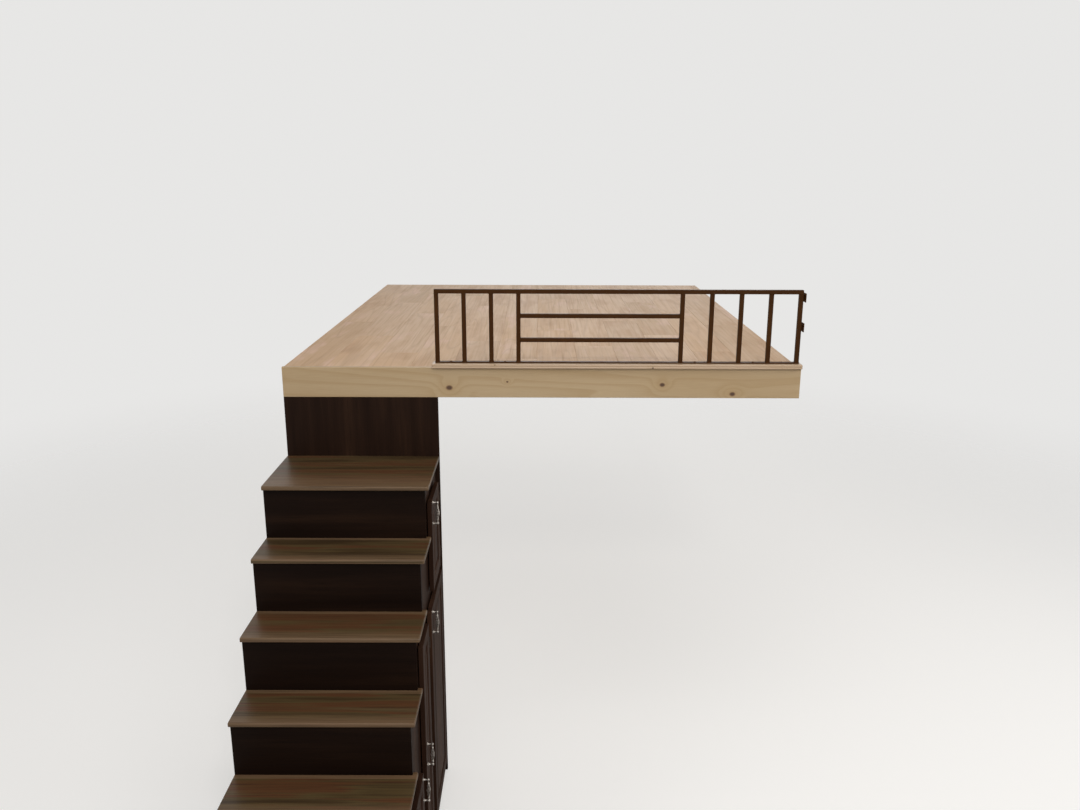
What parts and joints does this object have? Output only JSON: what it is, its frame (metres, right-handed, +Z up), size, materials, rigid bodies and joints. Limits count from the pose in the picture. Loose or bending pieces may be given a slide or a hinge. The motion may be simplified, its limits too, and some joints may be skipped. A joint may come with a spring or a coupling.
{
  "type": "sleeping loft with guardrail and storage stair",
  "caption": "Timber sleeping loft with a black steel guardrail along its open edge, and a boxed storage stair with hinged cupboard doors that climbs to it.",
  "frame": {"origin": "middle of the rear ledger's face that bolts to the end wall", "axes": "+Y out of the rear ledger into the end wall, so the stair's foot is towards -Y; +X to the right of someone who climbs the stair; +Z up"},
  "size_m": [2.36, 4.56, 2.466],
  "materials": {
    "pine_fascia": "clear satin varnish on knotty pine",
    "joist_timber": "planed softwood, unfinished",
    "zinc_steel": "galvanised sheet",
    "plywood": "sanded plywood, unfinished",
    "floor_laminate": "matt laminate boards, pinkish tan",
    "pine_cap": "clear satin varnish on pine",
    "guard_paint": "satin black-brown powder coat",
    "dark_tread": "dark brown satin varnish",
    "espresso_board": "espresso satin finish",
    "aged_pewter": "aged pewter plate",
    "dark_bronze": "dark bronze finish on steel"
  },
  "bodies": {
    "root": {"fascia_board": "pine_fascia", "front_beam": "joist_timber", "rear_ledger": "joist_timber", "side_ledgers": "joist_timber", "joists": "joist_timber", "joist_hangers": "zinc_steel", "subfloor": "plywood", "laminate_floor": "floor_laminate", "rail_cap": "pine_cap", "guard_top_rail": "guard_paint", "guard_bottom_bar": "guard_paint", "guard_uprights": "guard_paint", "guard_mid_bars": "guard_paint", "guard_wall_brackets": "guard_paint", "treads": "dark_tread", "landing": "dark_tread", "risers": "espresso_board", "wall_side_panel": "espresso_board", "back_panel": "espresso_board", "base_panel": "espresso_board", "plinth_boards": "espresso_board", "bay_walls": "espresso_board", "tall_bay_shelf": "espresso_board", "foot_bay_face": "espresso_board", "low_bay_face": "espresso_board", "middle_bay_face": "espresso_board", "tall_bay_face": "espresso_board", "foot_panel": "espresso_board", "frame_hinges": "dark_bronze"},
    "short_door": {"short_door_frame": "espresso_board", "short_door_panel": "espresso_board", "short_door_pull": "aged_pewter", "short_door_hinges": "dark_bronze"},
    "tall_door": {"tall_door_frame": "espresso_board", "tall_door_panel": "espresso_board", "tall_door_pull": "aged_pewter", "tall_door_hinges": "dark_bronze"},
    "middle_door": {"middle_door_frame": "espresso_board", "middle_door_panel": "espresso_board", "middle_door_pull": "aged_pewter", "middle_door_hinges": "dark_bronze"},
    "low_door": {"low_door_frame": "espresso_board", "low_door_panel": "espresso_board", "low_door_pull": "aged_pewter", "low_door_hinges": "dark_bronze"}
  },
  "joints": [
    {"name": "short_door_hinge", "type": "hinge", "parent": "root", "child": "short_door", "pos_m": [-0.47, -3.025, 0], "axis": [0, 0, 1], "range_deg": [0, 105]},
    {"name": "tall_door_hinge", "type": "hinge", "parent": "root", "child": "tall_door", "pos_m": [-0.47, -2.975, 0], "axis": [0, 0, 1], "range_deg": [0, 105]},
    {"name": "middle_door_hinge", "type": "hinge", "parent": "root", "child": "middle_door", "pos_m": [-0.47, -3.505, 0], "axis": [0, 0, 1], "range_deg": [0, 105]},
    {"name": "low_door_hinge", "type": "hinge", "parent": "root", "child": "low_door", "pos_m": [-0.47, -4.107, 0], "axis": [0, 0, -1], "range_deg": [0, 105]}
  ]
}
